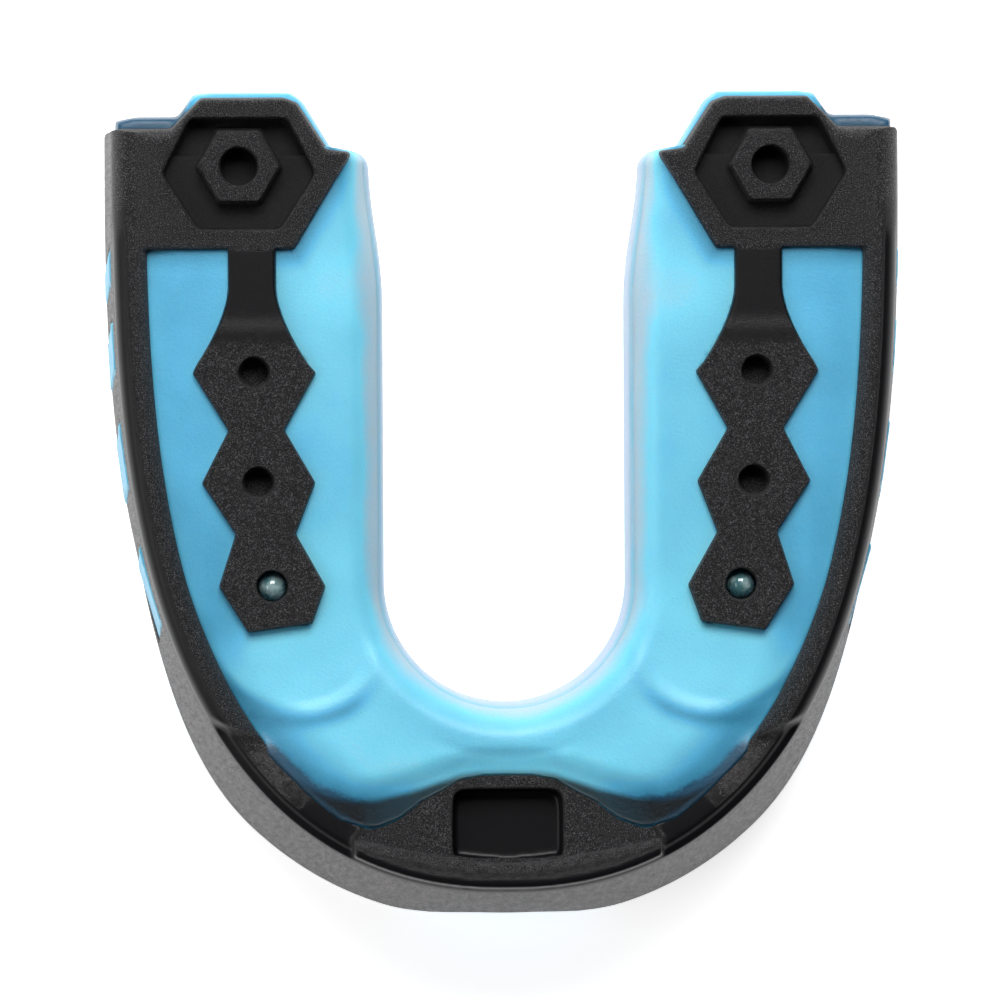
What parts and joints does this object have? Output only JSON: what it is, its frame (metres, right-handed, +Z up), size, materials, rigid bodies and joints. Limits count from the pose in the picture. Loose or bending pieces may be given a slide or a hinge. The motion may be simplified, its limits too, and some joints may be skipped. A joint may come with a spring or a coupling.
{
  "type": "sports mouthguard",
  "caption": "U-shaped boil-and-bite mouthguard: black elastomer frame with hexagonal heel blocks, blue gel pad and liner, and hexagon-chain traction strips.",
  "frame": {"origin": "centre of the bounding box's underside, on the surface that the wall rims stand on", "axes": "+Z up out of the bite side, -Y towards the front teeth, +Y towards the heels, +X towards the right-hand leg as seen from above with the front at the bottom"},
  "size_m": [0.0652, 0.0666, 0.0203],
  "materials": {
    "frame_rubber": "satin",
    "strip_rubber": "matte",
    "gel_blue": "gloss",
    "liner_gel": "gloss"
  },
  "bodies": {
    "root": {"shock_frame": "frame_rubber", "gel_pad": "gel_blue", "fit_liner": "liner_gel", "bite_strip_left": "strip_rubber", "bite_strip_right": "strip_rubber"}
  },
  "joints": []
}
